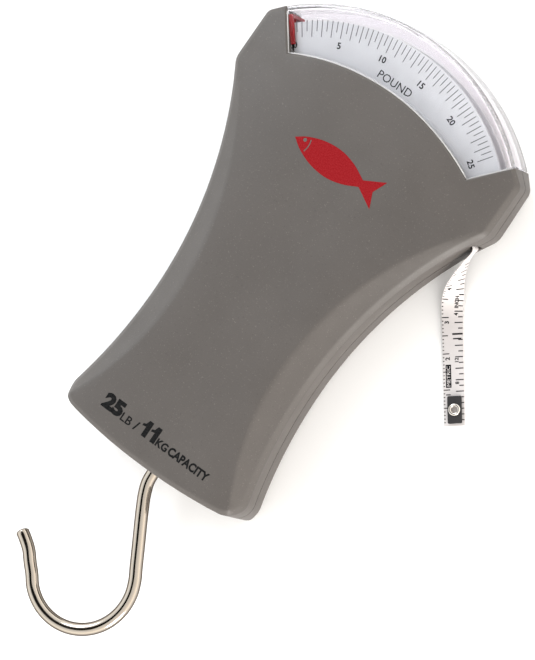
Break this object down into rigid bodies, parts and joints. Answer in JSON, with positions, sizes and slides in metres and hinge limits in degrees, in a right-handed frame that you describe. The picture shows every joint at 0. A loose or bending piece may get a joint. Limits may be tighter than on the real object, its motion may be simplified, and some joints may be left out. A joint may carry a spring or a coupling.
{
  "type": "mechanical fish scale",
  "caption": "Hand-held spring fish scale: fan window with a dial and red pointer, steel draw hook, built-in tape measure, waisted plastic case.",
  "frame": {"origin": "on the flat strip of the rear face, directly behind the pointer's pivot", "axes": "+Z out of the front face, +Y from the hook to the dial, +X to the right as the dial is read"},
  "size_m": [0.1102, 0.1949, 0.022],
  "materials": {
    "case_plastic": "fine moulded grain, grey taupe",
    "clear_lens": "clear moulded acrylic",
    "dial_print": "printed white dial",
    "pointer_red": "red",
    "hook_steel": "bright nickel-plated wire",
    "steel": "plain steel",
    "spring_steel": "oiled spring steel",
    "brass": "turned",
    "nylon": "natural nylon",
    "tape_white": "coated white ribbon with printed scales",
    "black_plate": "black",
    "eyelet_metal": "bright pressed eyelet"
  },
  "bodies": {
    "case": {"front_housing": "case_plastic", "rear_housing": "case_plastic", "dial_lens": "clear_lens", "front_dial": "dial_print", "rear_dial": "dial_print", "case_screw_1": "steel", "case_screw_2": "steel", "case_screw_3": "steel", "case_screw_4": "steel", "case_screw_5": "steel", "case_screw_6": "steel", "front_movement_plate": "steel", "rear_movement_plate": "steel", "movement_screw_1": "steel", "movement_screw_2": "steel", "movement_screw_3": "steel", "pointer_axle": "steel", "axle_clip": "steel", "spring_anchor_pin": "steel", "reel_post": "steel", "main_spring": "spring_steel", "tape_return_spring": "spring_steel", "movement_standoff_1": "brass", "movement_standoff_2": "brass", "movement_standoff_3": "brass", "rack_guide": "nylon", "hook_bushing": "nylon", "tape_guide": "nylon", "dial_post_left": "nylon", "dial_post_right": "nylon", "tape_strip": "tape_white", "tape_end_plate": "black_plate", "tape_eyelet": "eyelet_metal"},
    "draw_bar": {"draw_bar": "steel", "spring_draw_pin": "steel"},
    "pointer": {"pinion": "nylon", "pointer_sleeve": "brass", "pointer": "pointer_red"},
    "hook": {"hook": "hook_steel", "hook_collar": "hook_steel"},
    "reel": {"tape_reel": "nylon", "tape_coil": "tape_white", "tape_spring_cup": "steel"}
  },
  "joints": [
    {"name": "hook_draw", "type": "slide", "parent": "case", "child": "draw_bar", "axis": [0, -1, 0], "range_m": [0, 0.0082], "stiffness_N_per_m": 13600, "deforming": ["main_spring"]},
    {"name": "pointer_swing", "type": "hinge", "parent": "case", "child": "pointer", "pos_m": [0, 0, 0.011], "axis": [0, 0, 1], "range_deg": [-78.5, 0]},
    {"name": "hook_swivel", "type": "hinge", "parent": "draw_bar", "child": "hook", "pos_m": [0.0012, -0.0655, 0.011], "axis": [0, 1, 0], "continuous": true},
    {"name": "tape_reel_turn", "type": "hinge", "parent": "case", "child": "reel", "pos_m": [0.0223, 0.0085, 0.011], "axis": [0, 0, 1], "range_deg": [-350, 9000]}
  ],
  "couplings": [
    {"joint": "pointer_swing", "follows": "hook_draw", "rad_per_m": -166.67}
  ]
}
